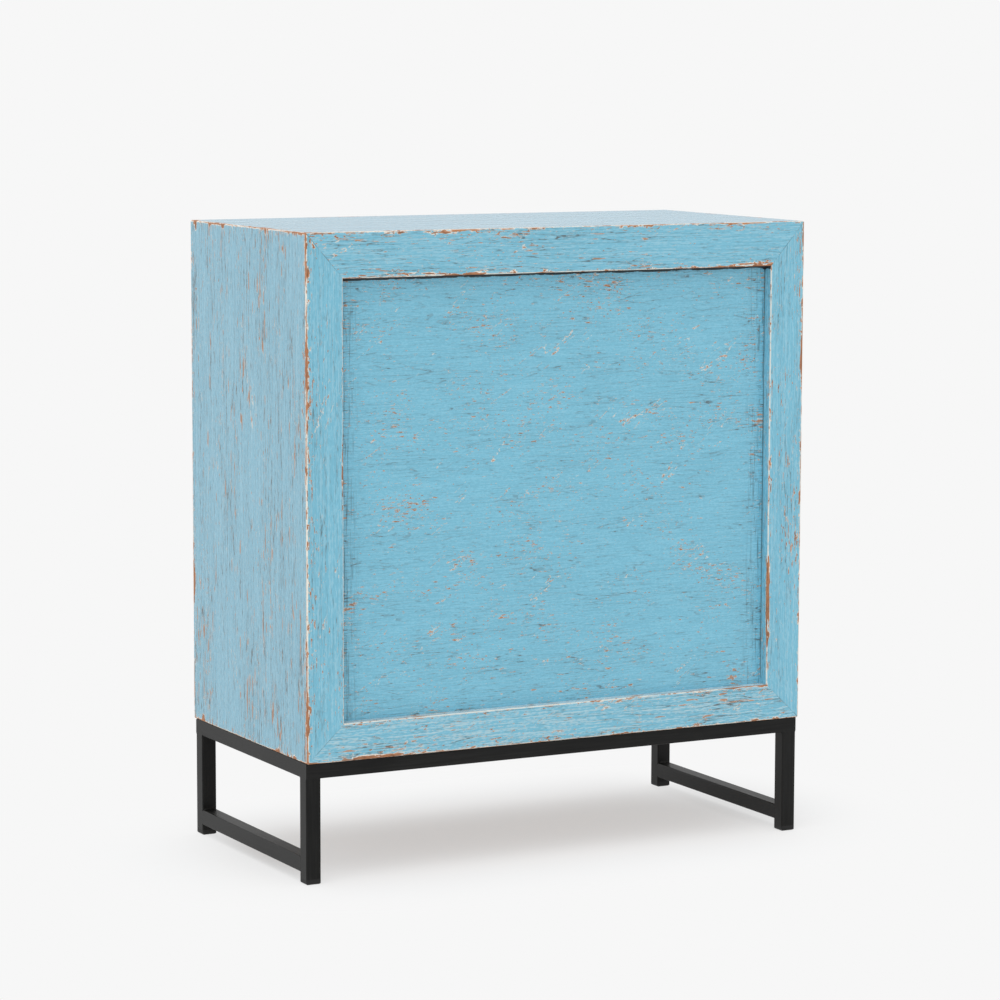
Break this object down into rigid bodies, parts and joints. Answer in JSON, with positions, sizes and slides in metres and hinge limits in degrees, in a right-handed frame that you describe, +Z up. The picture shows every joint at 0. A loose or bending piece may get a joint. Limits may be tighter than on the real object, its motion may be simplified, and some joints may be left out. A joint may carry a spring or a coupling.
{
  "type": "two-door cabinet",
  "caption": "Painted wooden cabinet with two framed doors on butt hinges, a loose shelf and a magnetic catch, on an open stand of square steel tube with low side stretchers.",
  "frame": {"origin": "on the floor, under the middle of the whole object's outline with its knobs", "axes": "+Z up; the two doors face -Y and the fixed panelled back faces +Y; -X is the left of someone facing the doors"},
  "size_m": [0.61, 0.331, 0.691],
  "materials": {
    "painted_wood": "matt blue paint, worn through at the edges",
    "bare_wood": "oiled",
    "stand_steel": "satin black powder coat",
    "foot_plastic": "moulded black",
    "knob_iron": "waxed black",
    "hinge_steel": "dark bronzed",
    "screw_steel": "dark zinc",
    "peg_steel": "bright zinc",
    "magnet_plate": "nickel plated",
    "disc_steel": "turned"
  },
  "bodies": {
    "cabinet": {"back_panel": "painted_wood", "back_rail_bottom": "painted_wood", "back_rail_top": "painted_wood", "back_stile_left": "painted_wood", "back_stile_right": "painted_wood", "bottom_board": "painted_wood", "corner_tabs": "stand_steel", "door_stop": "bare_wood", "foot_caps": "foot_plastic", "frame_leaf_lower_left": "hinge_steel", "frame_leaf_lower_right": "hinge_steel", "frame_leaf_screws": "screw_steel", "frame_leaf_upper_left": "hinge_steel", "frame_leaf_upper_right": "hinge_steel", "front_rail_bottom": "painted_wood", "front_rail_top": "painted_wood", "front_stile_left": "painted_wood", "front_stile_right": "painted_wood", "hinge_pins": "hinge_steel", "leg_back_left": "stand_steel", "leg_back_right": "stand_steel", "leg_front_left": "stand_steel", "leg_front_right": "stand_steel", "shelf": "bare_wood", "shelf_pegs": "peg_steel", "side_left": "painted_wood", "side_right": "painted_wood", "stand_rail_back": "stand_steel", "stand_rail_front": "stand_steel", "stand_rail_left": "stand_steel", "stand_rail_right": "stand_steel", "stand_screws": "screw_steel", "stop_magnets": "magnet_plate", "stop_screws": "screw_steel", "stretcher_left": "stand_steel", "stretcher_right": "stand_steel", "top_board": "painted_wood"},
    "door_left": {"catch_disc_left": "disc_steel", "door_leaf_lower_left": "hinge_steel", "door_leaf_screws_left": "screw_steel", "door_leaf_upper_left": "hinge_steel", "door_panel_left": "painted_wood", "door_rail_bottom_left": "painted_wood", "door_rail_top_left": "painted_wood", "door_stile_free_left": "painted_wood", "door_stile_hinge_left": "painted_wood", "knob_left": "knob_iron", "knob_screw_left": "screw_steel"},
    "door_right": {"catch_disc_right": "disc_steel", "door_leaf_lower_right": "hinge_steel", "door_leaf_screws_right": "screw_steel", "door_leaf_upper_right": "hinge_steel", "door_panel_right": "painted_wood", "door_rail_bottom_right": "painted_wood", "door_rail_top_right": "painted_wood", "door_stile_free_right": "painted_wood", "door_stile_hinge_right": "painted_wood", "knob_right": "knob_iron", "knob_screw_right": "screw_steel"}
  },
  "joints": [
    {"name": "left_door_hinge", "type": "hinge", "parent": "cabinet", "child": "door_left", "pos_m": [-0.26125, -0.1427, 0.40675], "axis": [0, 0, -1], "range_deg": [0, 180]},
    {"name": "right_door_hinge", "type": "hinge", "parent": "cabinet", "child": "door_right", "pos_m": [0.26125, -0.1427, 0.40675], "axis": [0, 0, 1], "range_deg": [0, 180]}
  ]
}
